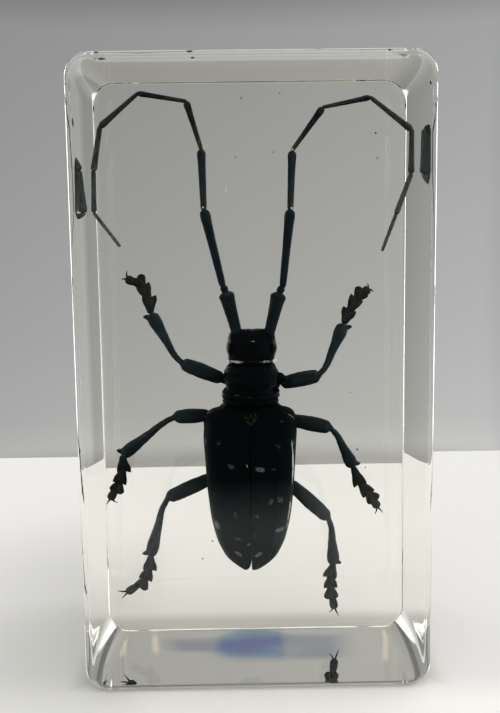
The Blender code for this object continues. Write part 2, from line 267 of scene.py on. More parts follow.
def noise(tree, scale, detail=2.0, roughness=0.5):
    """Noise from 0 to 1 by the place on the object, with its scale in cells per metre."""
    place = node(tree, "ShaderNodeTexCoord").outputs["Object"]
    made = node(
        tree, "ShaderNodeTexNoise", [("Vector", place)], Scale=scale, Detail=detail, Roughness=roughness)
    return made.outputs["Fac"]


def blend_colours(tree, factor, first, second):
    """Mixes two colours, each a fixed one or an output, by a factor."""
    made = node(tree, "ShaderNodeMix", data_type="RGBA")
    tree.links.new(factor, made.inputs[0])
    for index, colour in ((6, first), (7, second)):
        if isinstance(colour, tuple):
            made.inputs[index].default_value = (*colour, 1.0)
        else:
            tree.links.new(colour, made.inputs[index])
    return made.outputs[2]


def paint(tree, shader, factor, first, second):
    """Gives a shader the blend of two colours by a factor."""
    tree.links.new(blend_colours(tree, factor, first, second), shader.inputs["Base Color"])


def material(name, roughness=0.5, specular=0.5, **settings):
    """A Principled material. Settings are sockets of its shader with a value that is the same all over."""
    made = bpy.data.materials.new(name)
    made.use_nodes = True
    shader = made.node_tree.nodes["Principled BSDF"]
    shader.inputs["Roughness"].default_value = roughness
    shader.inputs["Specular IOR Level"].default_value = specular
    for key, value in settings.items():
        shader.inputs[key.replace("_", " ")].default_value = value
    return made, made.node_tree, shader


def chitin_group():
    """Shared grain of the beetle's skin: fine pits and leathery wrinkles as a height, and a slow tone.

    Pore Scale and Wrinkle Scale are cells per metre.
    """
    tree = bpy.data.node_groups.new("chitin_grain", "ShaderNodeTree")
    for name, in_out in (
        ("Pore Scale", "INPUT"), ("Wrinkle Scale", "INPUT"), ("Height", "OUTPUT"), ("Tone", "OUTPUT"),
    ):
        tree.interface.new_socket(name=name, in_out=in_out, socket_type="NodeSocketFloat")
    enters = node(tree, "NodeGroupInput")
    leaves = node(tree, "NodeGroupOutput")
    place = node(tree, "ShaderNodeTexCoord").outputs["Object"]
    pores = node(tree, "ShaderNodeTexVoronoi", [("Vector", place), ("Scale", enters.outputs[0])])
    round_pores = between(tree, pores.outputs["Distance"], 0.0, 0.5)
    wrinkles = node(tree, "ShaderNodeTexNoise", [("Vector", place), ("Scale", enters.outputs[1])], Detail=4.0)
    height = maths(tree, "MULTIPLY_ADD", round_pores, 0.5, wrinkles.outputs["Fac"])
    tree.links.new(height, leaves.inputs[0])
    tree.links.new(noise(tree, 420.0), leaves.inputs[1])
    return tree


CHITIN_GRAIN = chitin_group()


def roughen(tree, shader, height, strength, distance):
    """Feeds a height through a Bump node to the shader's normal."""
    made = node(tree, "ShaderNodeBump", [("Height", height)], Strength=strength, Distance=distance)
    tree.links.new(made.outputs[0], shader.inputs["Normal"])


def mark_value(tree, name):
    """A mark's value at the point that is shaded."""
    return node(tree, "ShaderNodeAttribute", attribute_name=name).outputs["Fac"]


def chitin(name, dark, light, pores, wrinkles, depth, roughness):
    """Black skin between two near tones, with the shared grain in relief at its own scales and depth."""
    made, tree, shader = material(name, roughness, 0.11, Sheen_Weight=0.02, Sheen_Roughness=0.4)
    relief = node(tree, "ShaderNodeGroup", node_tree=CHITIN_GRAIN, Pore_Scale=pores, Wrinkle_Scale=wrinkles)
    colour = blend_colours(tree, relief.outputs["Tone"], dark, light)
    tree.links.new(colour, shader.inputs["Base Color"])
    roughen(tree, shader, relief.outputs["Height"], 0.6, depth)
    return made, tree, shader, colour


trunk = body_grid(TRUNK_STATIONS, 220, 130, TRUNK_ROUNDING, TRUNK_ROUNDING)
x, y, z = np.moveaxis(trunk, -1, 0)
underneath = np.clip(y / 1.2, 0.0, 1.0)
laps = np.zeros(z.shape)
for edge in PLATE_EDGES:
    laps += np.where((z < edge) & (z > edge - PLATE_LENGTH), 1 - (edge - z) / PLATE_LENGTH, 0)
groove_reach = 1 / (1 + np.exp(-(z - BREAST_GROOVE["bottom"]) / 0.3))
groove = bump(x - centre_x(z), BREAST_GROOVE["half_width"]) * groove_reach * BREAST_GROOVE["depth"]
relief = underneath * (-PLATE_STEP * laps - groove) + 0.04 * waves(trunk, 1.6, 3)
trunk = push(trunk, relief - 0.02 * pits(x, z, 0.34, 1))
BODY_BLACK = chitin(
    "body_black", (0.006, 0.009, 0.011), (0.016, 0.021, 0.024), 5200.0, 1500.0, 0.00004, 0.42)[0]
piece("trunk_and_abdomen", [skin(trunk)], BODY_BLACK)

# Wing cases
# Two vaulted shells that meet at the suture down the back: hard, near black, pitted at the shoulders
# and dotted with patches of whitish hair. Each hinges at its shoulder and is shut here.
# Height z, width from the suture, y of the back, y of the side margin.
WING_CASE_STATIONS = (
    (32.7, 3.10, -3.5, -1.9),
    (32.2, 4.60, -4.4, -1.7),
    (31.3, 5.45, -4.9, -1.5),
    (29.8, 5.62, -5.2, -1.3),
    (26.0, 5.48, -5.4, -1.1),
    (21.5, 5.18, -5.3, -1.0),
    (17.6, 4.62, -4.9, -0.9),
    (14.9, 3.75, -4.2, -0.9),
    (13.2, 2.65, -3.5, -0.9),
    (12.3, 1.50, -2.9, -1.0),
    (11.9, 0.75, -2.4, -1.2),
)
WING_CASE_SQUARENESS = 2.5
WING_CASE_WALL = 0.3
SHOULDER_ROUNDING, TIP_ROUNDING = 0.02, 0.012
SUTURE_GAP = 0.015
SUTURE_GROOVE = dict(depth=0.036, reach=0.14)
SHOULDER_KNOB = dict(x=4.1, z=30.9, reach=0.8, height=0.22)
RIB_PLACES = (0.32, 0.62)
PIT_SPACING, PIT_DEPTH = 0.42, 0.0015
# The pits fade below this height, which is the end of the shoulders.
PITS_FADE_Z = 26.0
# The left tip is broken off at the suture, so a notch shows there.
TIP_NOTCH = {
    "left": dict(top=13.3, bottom=12.1, width=0.62),
    "right": dict(top=12.6, bottom=11.8, width=0.10),
}
# Hair patches: x, height z, half width, half height, lean in degrees, how white.
HAIR_PATCHES = (
    (-4.45, 28.41, 0.34, 0.26, 0, 0.55), (-4.13, 25.69, 0.20, 0.16, 0, 0.40),
    (-2.93, 25.58, 0.44, 0.24, -22, 0.75), (-4.80, 21.88, 0.36, 0.34, -30, 0.35),
    (-4.20, 21.49, 0.20, 0.28, 0, 0.35), (-2.45, 19.64, 0.24, 0.44, 12, 0.60),
    (-4.75, 18.03, 0.30, 0.50, 22, 0.95), (-2.27, 16.53, 0.40, 0.28, -15, 0.60),
    (-1.03, 15.78, 0.26, 0.22, 0, 0.65), (-2.13, 14.41, 0.52, 0.20, -38, 0.80),
    (-5.39, 30.52, 0.24, 0.18, 0, 0.35), (-6.02, 28.41, 0.22, 0.44, 0, 0.70),
    (-1.47, 18.77, 0.16, 0.20, 0, 0.35), (3.13, 30.84, 0.22, 0.20, 0, 0.60),
    (0.80, 28.48, 0.30, 0.24, 0, 0.35), (2.61, 28.00, 0.42, 0.24, -25, 0.50),
    (4.45, 28.07, 0.26, 0.34, 20, 0.75), (0.53, 25.20, 0.54, 0.28, -12, 1.00),
    (2.16, 25.12, 0.22, 0.20, 0, 0.65), (1.81, 21.09, 0.30, 0.52, -18, 0.60),
    (2.92, 21.28, 0.34, 0.44, 10, 0.70), (3.67, 21.08, 0.16, 0.26, 0, 0.40),
    (0.05, 19.36, 0.24, 0.44, 0, 0.42), (2.88, 17.42, 0.56, 0.26, 10, 0.90),
    (-0.23, 16.93, 0.22, 0.36, 0, 0.45), (1.15, 16.07, 0.14, 0.14, 0, 0.35),
    (0.28, 14.37, 0.46, 0.24, 28, 0.85), (-1.12, 25.45, 0.06, 0.40, 0, 0.50),
    (-0.90, 25.35, 0.06, 0.36, 0, 0.50),
)


def wing_case(side, rows=300, outer=150, inner=50):
    """One wing case: over the vault from suture to margin as a superellipse, and back inside the wall."""
    share = (1 - np.cos(np.linspace(0, np.pi, rows))) / 2
    z, width, back, margin = through(WING_CASE_STATIONS, share).T
    ease = rounding(share, SHOULDER_ROUNDING, TIP_ROUNDING)[:, None]
    z, width, back, margin = (value[:, None] for value in (z, width, back, margin))
    notch = TIP_NOTCH["left" if side < 0 else "right"]
    down_notch = np.clip((notch["top"] - z) / (notch["top"] - notch["bottom"]), 0, 1)
    gap = SUTURE_GAP + notch["width"] * down_notch ** 2
    turn = np.linspace(0, np.pi / 2, outer)
    inside = np.linspace(np.pi / 2, 0, inner)
    exponent = 2 / WING_CASE_SQUARENESS
    across = np.concatenate([np.sin(turn), np.sin(inside)]) ** exponent
    up = np.concatenate([np.cos(turn), np.cos(inside)]).clip(0) ** exponent
    wall = np.concatenate([np.zeros(outer), np.full(inner, WING_CASE_WALL)])
    reach = (width - gap - wall * np.minimum(1, width)) * across
    rise = (margin - back - wall * 0.9 * np.minimum(1, width)) * up
    middle = width / 2
    x = gap + middle + (reach - middle) * ease
    y = margin - rise * ease
    return np.stack([centre_x(z) + side * x, y, np.broadcast_to(z, x.shape)], axis=-1), outer


def patch_mask(x, z):
    """How white the hair is at each point: the strongest of the patches, each a soft-edged ellipse."""
    mask = np.zeros(x.shape)
    for patch_x, patch_z, half_width, half_height, lean, white in HAIR_PATCHES:
        turn = math.radians(lean)
        across = (x - patch_x) * math.cos(turn) + (z - patch_z) * math.sin(turn)
        along = (z - patch_z) * math.cos(turn) - (x - patch_x) * math.sin(turn)
        size = np.hypot(across / half_width, along / half_height)
        mask = np.maximum(mask, white * np.clip(1.7 - size, 0, 1))
    return mask


def wing_case_relief(x, z, side, outer):
    """Heights on a wing case: shoulder knob, faint ribs, suture groove with a rim, margin bead and pits."""
    from_suture = np.abs(x - centre_x(z))
    share = from_suture / from_suture.max(axis=1, keepdims=True)
    height = SHOULDER_KNOB["height"] * bump(
        np.hypot(from_suture - SHOULDER_KNOB["x"], z - SHOULDER_KNOB["z"]), SHOULDER_KNOB["reach"])
    height += sum(0.03 * bump(share - place, 0.05) for place in RIB_PLACES)
    height -= SUTURE_GROOVE["depth"] * bump(from_suture, SUTURE_GROOVE["reach"])
    height += 0.04 * bump(from_suture - 2.2 * SUTURE_GROOVE["reach"], SUTURE_GROOVE["reach"])
    height += 0.05 * bump(share - 0.99, 0.012)
    coarse = 0.25 + 0.75 / (1 + np.exp((PITS_FADE_Z - z) / 1.5))
    height -= PIT_DEPTH * coarse * pits(x, z, PIT_SPACING, 5 + side)
    height[:, outer:] = 0.0
    return height


def wing_case_material():
    """Near black with a little blue, clouded, and whitish felt on the hair patches, ragged at their edges."""
    made, tree, shader, black = chitin(
        "wing_case_black", (0.010, 0.019, 0.025), (0.014, 0.025, 0.032), 5200.0, 1300.0, 0.000002, 0.5)
    patch = mark_value(tree, "hair_patch")
    ragged = maths(tree, "MULTIPLY_ADD", noise(tree, 3200.0, 5.0, 0.7), 2.2, patch)
    felt = maths(tree, "MULTIPLY", between(tree, ragged, 1.48, 2.18), between(tree, patch, 0.02, 0.2))
    paint(tree, shader, felt, black, (0.20, 0.23, 0.23))
    tree.links.new(between(tree, felt, 0.0, 1.0, 0.5, 0.8), shader.inputs["Roughness"])
    return made


WING_CASE_BLACK = wing_case_material()
CASE_SURFACES = {}
for name, side in (("left", -1), ("right", 1)):
    grid, outer = wing_case(side)
    x, z = grid[..., 0], grid[..., 2]
    marks = patch_mask(x, z)
    marks[:, outer:] = 0.0
    grid = push(grid, wing_case_relief(x, z, side, outer) + 0.03 * marks)
    CASE_SURFACES[name] = grid
    piece(name + "_wing_case", [skin(grid, hair_patch=marks)], WING_CASE_BLACK)

# Scutellum
# The small shield between the roots of the wing cases, covered in short olive-brown hair.
SHIELD = dict(y=-4.75, z=31.1, half_width=0.78, half_height=1.0, half_depth=0.42)


def shield_grid(rows=60, columns=72):
    """A flat ellipsoid whose outline narrows towards the tail, as a rounded shield."""
    fall = np.linspace(0, np.pi, rows)[:, None]
    turn = np.linspace(0, 2 * np.pi, columns, endpoint=False)
    narrow = 1 + 0.28 * np.cos(fall)
    x = SHIELD["half_width"] * np.sin(fall) * np.cos(turn) * narrow
    y = SHIELD["half_depth"] * np.sin(fall) * np.sin(turn)
    z = SHIELD["z"] + SHIELD["half_height"] * np.cos(fall) + 0 * turn
    return np.stack([centre_x(z) + x, SHIELD["y"] + y, z], axis=-1)


def shield_material():
    """Matted olive hair over black."""
    made, tree, shader, black = chitin(
        "shield_olive", (0.010, 0.012, 0.008), (0.022, 0.024, 0.015), 7000.0, 2600.0, 0.00005, 0.7)
    tufts = between(tree, noise(tree, 2400.0, 4.0), 0.42, 0.68)
    paint(tree, shader, tufts, black, (0.115, 0.125, 0.095))
    return made


shield = shield_grid()
piece("scutellum", [skin(push(shield, 0.02 * waves(shield, 0.3, 8)))], shield_material())

# Pronotum
# The plate over the first pair of legs: wrinkled black armour with a spine at each side, three low
# knobs on its back and a rippled collar where it meets the wing cases.
PRONOTUM_STATIONS = (
    (37.7, 2.72, -4.0, 2.6),
    (37.2, 2.96, -4.5, 2.9),
    (36.4, 3.30, -4.8, 3.1),
    (35.5, 3.30, -4.9, 3.1),
    (34.7, 3.02, -4.5, 3.0),
    (34.3, 3.38, -4.5, 2.9),
    (33.2, 3.40, -4.4, 2.8),
    (32.4, 3.20, -4.2, 2.7),
)
SPINE_ROOT_X, SPINE_TIP_X, SPINE_Y, SPINE_ROOT_Z, SPINE_TIP_Z = 2.3, 4.15, -1.4, 35.8, 35.4
# Share of the length, half width, half depth.
SPINE_PROFILE = (
    (0.0, 1.25, 1.25), (0.3, 0.95, 0.95), (0.6, 0.62, 0.62), (0.85, 0.26, 0.28), (1.0, 0.08, 0.08),
)
# Place x, height z and height of each knob on the plate.
KNOBS = ((-1.35, 36.0, 0.20), (1.25, 36.0, 0.20), (-0.1, 35.1, 0.16))
COLLAR_RIPPLES = dict(top=34.3, bottom=32.5, spacing=0.62, height=0.07)


def swept(path, profile, columns=28, rows=48, facing=(0.0, 1.0, 0.0)):
    """A closed skin round a smooth path through a few points.

    Each ring is an ellipse: its half width lies square to the path and to the facing direction, its
    half depth square to both. The profile gives them by share of the length, and the ends are domed.
    """
    path = np.asarray(path, float)
    steps = np.linalg.norm(np.diff(path, axis=0), axis=1)
    length = steps.sum()
    keyed = np.column_stack([np.concatenate([[0], np.cumsum(steps)]), path])
    share = (1 - np.cos(np.linspace(0, np.pi, rows))) / 2
    places = through(keyed, share)[:, 1:]
    wide, deep = through(profile, share)[:, 1:].T
    start, end = profile[0][1] / length, profile[-1][1] / length
    ease = rounding(share, max(start, 0.004), max(end, 0.004))
    along = unit(np.gradient(places, axis=0))
    across = unit(np.cross(along, facing))
    out = np.cross(across, along)
    turn = 2 * np.pi * np.arange(columns) / columns
    ring = (wide * ease)[:, None, None] * across[:, None] * np.cos(turn)[:, None]
    return places[:, None] + ring + (deep * ease)[:, None, None] * out[:, None] * np.sin(turn)[:, None]


pronotum = body_grid(PRONOTUM_STATIONS, 170, 150, 0.07, 0.05)
x, y, z = np.moveaxis(pronotum, -1, 0)
above = np.clip(-y / 1.5, 0.0, 1.0)
relief = np.zeros(z.shape)
for knob_x, knob_z, height in KNOBS:
    relief += above * height * bump(np.hypot(x - knob_x, z - knob_z), 0.75)
on_collar = np.clip((COLLAR_RIPPLES["top"] - z) / 0.3, 0, 1)
on_collar *= np.clip((z - COLLAR_RIPPLES["bottom"]) / 0.2, 0, 1)
ripple = 2 * np.pi * z / COLLAR_RIPPLES["spacing"] + 0.6 * waves(pronotum, 2.0, 4)
relief += on_collar * COLLAR_RIPPLES["height"] * np.sin(ripple)
relief += (1 - on_collar) * 0.07 * waves(pronotum * (0.5, 0.5, 1.3), 0.9, 6)
relief -= 0.015 * pits(np.arctan2(y, x) * 3.2, z, 0.36, 2)
PRONOTUM_BLACK = chitin(
    "pronotum_black", (0.007, 0.016, 0.021), (0.018, 0.031, 0.038), 6000.0, 2200.0, 0.00006, 0.48)[0]
pronotum = push(pronotum, relief)
skins = [skin(pronotum)]
for side in (-1, 1):
    root, tip = (side * SPINE_ROOT_X, SPINE_Y, SPINE_ROOT_Z), (side * SPINE_TIP_X, SPINE_Y, SPINE_TIP_Z)
    bend = ((root[0] + tip[0]) / 2, SPINE_Y, (root[2] + tip[2]) / 2 + 0.08)
    spine = swept((root, bend, tip), SPINE_PROFILE, rows=60, columns=40)
    skins.append(skin(push(spine, 0.03 * waves(spine, 0.8, 9))))
piece("pronotum", skins, PRONOTUM_BLACK)

# Head
# A hard capsule with a furrow down its crown, kidney-shaped eyes that half ring the antenna
# sockets, and jaws and feelers on the underside. A fleck of cream dust sits between the eyes.
HEAD_STATIONS = (
    (42.0, 2.45, -2.9, 2.4),
    (41.4, 2.75, -3.5, 3.0),
    (40.4, 2.90, -3.9, 3.2),
    (38.9, 2.90, -4.0, 3.0),
    (38.1, 2.75, -3.8, 2.7),
    (37.0, 2.50, -3.5, 2.4),
)
# The crown falls away towards the face, from this y and above this height.
CROWN_FALL = dict(slope=0.12, y=-2.6, z=39.5)
CROWN_FURROW = dict(depth=0.14, reach=0.13)
SOCKET = dict(x=1.95, y=-2.5, z=41.0, reach=0.75, height=0.42)
CREAM_FLECK = dict(x=-0.14, z=40.5, half_width=0.42, half_height=0.20)
EYE = dict(x=2.12, y=-1.4, z=39.6, half=(0.95, 1.8, 1.3))
MANDIBLE = dict(x=0.95, z=39.6, root_y=2.4, tip_y=4.6)
MANDIBLE_PROFILE = ((0.0, 0.9, 0.7), (0.3, 0.85, 0.6), (0.65, 0.52, 0.42), (1.0, 0.14, 0.14))
# Places of the feelers' joints on the left, from the root; the right ones mirror them.
FEELERS = (
    ((-1.75, 2.3, 39.2), (-2.05, 3.3, 39.3), (-1.85, 4.0, 39.8), (-1.5, 4.3, 40.3)),
    ((-0.55, 2.6, 38.9), (-0.75, 3.4, 39.0), (-0.7, 4.0, 39.4)),
)
FEELER_PROFILE = ((0.0, 0.14, 0.14), (0.7, 0.20, 0.20), (1.0, 0.16, 0.16))
LIP = dict(half=(0.95, 0.8, 0.22), y=3.2, z=40.3)


def ball(centre, half, rows=40, columns=48):
    """An ellipsoid with its poles up and down."""
    fall = np.linspace(0.01, np.pi - 0.01, rows)[:, None]
    turn = np.linspace(0, 2 * np.pi, columns, endpoint=False)
    x = np.sin(fall) * np.cos(turn) * half[0]
    y = np.sin(fall) * np.sin(turn) * half[1]
    z = np.cos(fall) * half[2] + 0 * turn
    return np.stack([centre[0] + x, centre[1] + y, centre[2] + z], axis=-1)


def head_material():
    """Black, with a dry cream fleck where the mark says."""
    made, tree, shader, black = chitin(
        "head_black", (0.015, 0.022, 0.027), (0.030, 0.040, 0.046), 6500.0, 2000.0, 0.00006, 0.45)
    crumbs = maths(tree, "MULTIPLY", noise(tree, 2600.0, 4.0), mark_value(tree, "cream_fleck"))
    paint(tree, shader, between(tree, crumbs, 0.30, 0.55), black, (0.52, 0.45, 0.33))
    return made


head = body_grid(HEAD_STATIONS, 150, 150, 0.05, 0.03)
high_up = np.clip((head[..., 2] - CROWN_FALL["z"]) / 2, 0.0, 1.0)
head[..., 2] -= CROWN_FALL["slope"] * np.clip(head[..., 1] - CROWN_FALL["y"], 0.0, None) * high_up
x, y, z = np.moveaxis(head, -1, 0)
off_centre = x - centre_x(z)
on_crown = np.clip(-y / 1.5, 0, 1) * np.clip(z - 38.6, 0, 1)
relief = -CROWN_FURROW["depth"] * bump(off_centre, CROWN_FURROW["reach"]) * on_crown
for side in (-1, 1):
    socket = (centre_x(SOCKET["z"]) + side * SOCKET["x"], SOCKET["y"], SOCKET["z"])
    relief += SOCKET["height"] * bump(np.linalg.norm(head - socket, axis=-1), SOCKET["reach"])
relief += 0.04 * waves(head, 1.1, 12) - 0.03 * pits(np.arctan2(y, off_centre) * 3.0, z, 0.30, 7)
fleck_across = (x - CREAM_FLECK["x"]) / CREAM_FLECK["half_width"]
fleck_up = (z - CREAM_FLECK["z"]) / CREAM_FLECK["half_height"]
fleck = np.where(y < 0, bump(np.hypot(fleck_across, fleck_up), 1.0), 0.0)
head = push(head, relief + 0.03 * fleck)
skins = [skin(head, cream_fleck=fleck)]
skins.append(skin(ball((centre_x(LIP["z"]), LIP["y"], LIP["z"]), LIP["half"])))
for side in (-1, 1):
    root_x = centre_x(MANDIBLE["z"]) + side * MANDIBLE["x"]
    root = (root_x, MANDIBLE["root_y"], MANDIBLE["z"])
    tip = (root_x - side * 0.6, MANDIBLE["tip_y"], MANDIBLE["z"] - 0.3)
    bend = (root_x + side * 0.12, (root[1] + tip[1]) / 2, MANDIBLE["z"] - 0.1)
    skins.append(skin(swept((root, bend, tip), MANDIBLE_PROFILE, facing=(0, 0, 1))))
    for feeler in FEELERS:
        places = [(centre_x(z) - side * x, y, z) for x, y, z in feeler]
        for start, end in zip(places, places[1:]):
            skins.append(skin(swept((start, end), FEELER_PROFILE, columns=16, rows=18, facing=(1, 0, 0))))
piece("head", skins, head_material())

EYE_BLACK, tree, shader = material("eye_black", 0.4, 0.15, Coat_Weight=0.08, Coat_Roughness=0.25)
place = node(tree, "ShaderNodeTexCoord").outputs["Object"]
lenses = node(tree, "ShaderNodeTexVoronoi", [("Vector", place)], Scale=11000.0)
paint(tree, shader, noise(tree, 900.0), (0.004, 0.004, 0.006), (0.014, 0.010, 0.012))
roughen(tree, shader, lenses.outputs["Distance"], 0.5, 0.00004)
for name, side in (("left", -1), ("right", 1)):
    centre = (centre_x(EYE["z"]) + side * EYE["x"], EYE["y"], EYE["z"])
    eye = ball(centre, EYE["half"], 70, 90)
    socket = np.linalg.norm(eye - (centre[0] + side * 0.4, SOCKET["y"] + 0.5, SOCKET["z"] - 0.1), axis=-1)
    piece(name + "_eye", [skin(push(eye, -0.45 * bump(socket, 0.7)))], EYE_BLACK)

# Antennae
# Ten slender joints each, longer than the body, every joint swelling towards its far end and sitting
# in the last one's cup. The middle joints have olive hair at their roots, the outer ones grey down, made
# paler than the down alone as painted light for the side light that they catch.
ANTENNA_JOINTS = {
    "left": (
        (-1.95, -2.5, 41.2), (-3.3, -2.8, 46.5), (-3.6, -2.8, 47.1), (-5.7, -2.0, 56.1),
        (-5.9, -1.0, 63.1), (-7.6, 0.5, 68.7), (-13.5, 4.0, 70.0), (-18.3, 5.4, 66.2),
        (-19.4, 7.0, 61.0), (-19.6, 7.7, 55.9), (-16.3, 5.8, 51.7),
    ),
    "right": (
        (1.82, -2.5, 41.2), (3.1, -2.8, 46.3), (3.5, -2.8, 46.9), (4.5, -2.0, 56.0),
        (4.8, -1.0, 62.8), (8.5, 0.0, 67.8), (14.3, 2.5, 69.1), (19.6, 5.1, 65.4),
        (19.6, 5.3, 60.1), (17.6, 3.8, 55.2), (15.9, 3.5, 50.8),
    ),
}
# Radius at the root and at the far end of each joint, how pale its root is, and its grey down, which on the
# outer joints is partly painted light.
ANTENNA_SHAPES = (
    (0.62, 0.93, 0.0, 0.0), (0.42, 0.50, 0.0, 0.0), (0.42, 0.62, 0.0, 0.0), (0.38, 0.50, 0.45, 0.1),
    (0.26, 0.42, 0.9, 0.1), (0.24, 0.34, 0.8, 0.15), (0.26, 0.42, 0.5, 0.45), (0.32, 0.40, 0.3, 0.7),
    (0.30, 0.34, 0.3, 0.8), (0.24, 0.20, 0.2, 0.9),
)
# How far each joint reaches back into the last one, as a share of its root's radius.
JOINT_OVERLAP = 0.5


def straight(start, end, profile, **options):
    """A swept skin with a straight middle line."""
    start, end = np.array(start), np.array(end)
    return swept((start, (start + end) / 2, end), profile, **options)


def antenna_joint(start, end, slim, thick, pale, down, seed):
    """One joint: a stalk that widens as its share of the length to the power 1.4, with a round shoulder."""
    start, end = np.array(start), np.array(end)
    along = unit(end - start)
    start = start - along * slim * JOINT_OVERLAP
    shares = np.array([0.0, 0.04, 0.2, 0.5, 0.8, 0.93, 1.0])
    radii = (slim + (thick - slim) * shares ** 1.4) * (0.8, 0.92, 1, 1, 1.02, 1.04, 0.78)
    joint = straight(start, end, np.column_stack([shares, radii, radii]), columns=26, rows=70)
    share = ((joint - start) @ along) / np.linalg.norm(end - start)
    joint = push(joint, 0.012 * waves(joint, 0.5, seed))
    return skin(joint, pale_root=pale * np.clip(1 - share / 0.55, 0, 1), grey_down=down)


def antenna_material():
    """Blue-black, with grey down that on the outer joints is partly painted light, and olive hair where the
    marks are.
    """
    made, tree, shader, black = chitin(
        "antenna_black", (0.040, 0.050, 0.061), (0.066, 0.081, 0.094), 8000.0, 3000.0, 0.00004, 0.5)
    # Grey down, paler on the outer joints as painted light.
    downy = blend_colours(tree, mark_value(tree, "grey_down"), black, (0.20, 0.225, 0.24))
    hair = maths(tree, "MULTIPLY", noise(tree, 4200.0, 3.0), mark_value(tree, "pale_root"))
    paint(tree, shader, between(tree, hair, 0.05, 0.5), downy, (0.135, 0.140, 0.110))
    return made


ANTENNA_BLACK = antenna_material()
for name, joints in ANTENNA_JOINTS.items():
    skins = []
    for i, shape in enumerate(ANTENNA_SHAPES):
        skins.append(antenna_joint(joints[i], joints[i + 1], *shape, 20 + i))
    piece(name + "_antenna", skins, ANTENNA_BLACK)

# Legs
# Six jointed legs: hip, thick thigh, shin that widens to a small spur, three foot joints with lobed
# pads, a claw joint and two hooked claws. Black, with blue-grey down and brown edges to the pads.
# Places of the joints from the body out, and how much further than a short spur this one stands out.
LEGS = {
    "left_fore": dict(
        hip=(-2.0, 1.2, 35.3), trochanter=(-3.7, 0.6, 35.5),
        knee=(-8.6, -0.5, 37.6), ankle=(-12.5, 2.5, 43.5), spur=0.30,
        lobes=((-12.7, 3.1, 45.3), (-13.4, 3.8, 46.7), (-14.1, 4.2, 47.7)),
        claw_end=(-15.7, 5.0, 47.8), claws=((-15.5, 5.4, 48.8), (-16.3, 5.4, 47.7)),
    ),
    "right_fore": dict(
        hip=(1.6, 1.2, 34.9), trochanter=(3.2, 0.6, 34.9),
        knee=(7.8, -0.5, 35.9), ankle=(11.1, 2.5, 41.9), spur=0.35,
        lobes=((11.8, 3.1, 43.4), (12.7, 3.8, 44.8), (13.5, 4.2, 45.8)),
        claw_end=(14.5, 5.0, 46.2), claws=((14.3, 5.4, 46.8), (15.1, 5.4, 45.7)),
    ),
    "left_mid": dict(
        hip=(-2.9, 2.4, 29.9), trochanter=(-5.4, 1.2, 31.0),
        knee=(-9.7, 0.0, 31.0), ankle=(-16.6, 4.5, 25.6), spur=0.25,
        lobes=((-16.6, 5.1, 23.6), (-17.2, 5.8, 22.0), (-17.7, 6.2, 20.7)),
        claw_end=(-18.7, 7.0, 19.3), claws=((-19.2, 7.4, 18.6), (-17.7, 7.4, 18.8)),
    ),
    "right_mid": dict(
        hip=(1.8, 2.4, 29.6), trochanter=(4.3, 1.2, 30.3),
        knee=(9.2, 0.0, 29.4), ankle=(12.4, 4.5, 23.7), spur=0.3,
        lobes=((13.3, 5.1, 21.4), (14.4, 5.8, 20.0), (15.2, 6.2, 19.0)),
        claw_end=(15.9, 7.0, 17.7), claws=((15.5, 7.4, 16.7), (16.6, 7.4, 16.9)),
    ),
    "left_hind": dict(
        hip=(-2.8, 2.8, 24.6), trochanter=(-5.2, 1.9, 23.0),
        knee=(-10.8, 1.0, 20.7), ankle=(-13.6, 7.0, 11.9), spur=0.4,
        lobes=((-13.8, 7.6, 10.0), (-14.4, 8.3, 8.5), (-15.1, 8.8, 7.2)),
        claw_end=(-17.1, 9.8, 6.1), claws=((-18.4, 10.2, 6.3), (-17.8, 10.2, 5.2)),
    ),
    "right_hind": dict(
        hip=(1.9, 2.8, 24.3), trochanter=(4.2, 1.9, 22.2),
        knee=(9.0, 1.0, 17.8), ankle=(10.1, 7.0, 10.4), spur=0.3,
        lobes=((9.7, 7.6, 8.6), (9.8, 8.3, 7.0), (9.9, 8.8, 5.4)),
        claw_end=(10.4, 9.8, 3.4), claws=((9.7, 10.2, 2.8), (11.0, 10.2, 2.3)),
    ),
}
# Profiles: share of the length, half width, half depth.
HIP_PROFILE = ((0.0, 0.95, 1.0), (0.4, 0.95, 1.0), (0.75, 0.78, 0.85), (1.0, 0.5, 0.55))
THIGH_PROFILE = (
    (0.0, 0.62, 0.58), (0.1, 0.76, 0.68), (0.25, 0.85, 0.76), (0.55, 0.93, 0.82), (0.85, 0.84, 0.74),
    (1.0, 0.74, 0.66),
)
SHIN_PROFILE = (
    (0.0, 0.34, 0.34), (0.12, 0.36, 0.36), (0.45, 0.50, 0.46), (0.62, 0.62, 0.55), (0.88, 0.80, 0.62),
    (1.0, 0.66, 0.55),
)
SPUR_PROFILE = ((0.0, 0.42, 0.35), (0.6, 0.28, 0.24), (1.0, 0.10, 0.10))
FOOT_PROFILE = ((0.0, 0.28, 0.28), (0.5, 0.38, 0.32), (1.0, 0.32, 0.28))
POINTED_PAD = (
    (0.0, 0.22, 0.20), (0.35, 0.38, 0.30), (0.70, 0.46, 0.28), (0.88, 0.28, 0.16), (1.0, 0.03, 0.03),
)
ROUND_PAD = ((0.0, 0.16, 0.16), (0.3, 0.30, 0.24), (0.7, 0.50, 0.28), (0.9, 0.46, 0.22), (1.0, 0.30, 0.14))
CLAW_JOINT_PROFILE = (
    (0.0, 0.22, 0.20), (0.3, 0.36, 0.30), (0.7, 0.55, 0.42), (0.9, 0.50, 0.36), (1.0, 0.30, 0.24),
)
CLAW_PROFILE = ((0.0, 0.17, 0.15), (0.5, 0.11, 0.10), (1.0, 0.03, 0.03))
# How far the shin stands out beyond the straight line below the knee.
KNEE_BOW = 0.32
# How far the pads' tips part from the joint's middle, and how far they reach past its end.
PAD_SPREAD, ROUND_SPREAD, PAD_REACH = 0.86, 0.60, 0.42


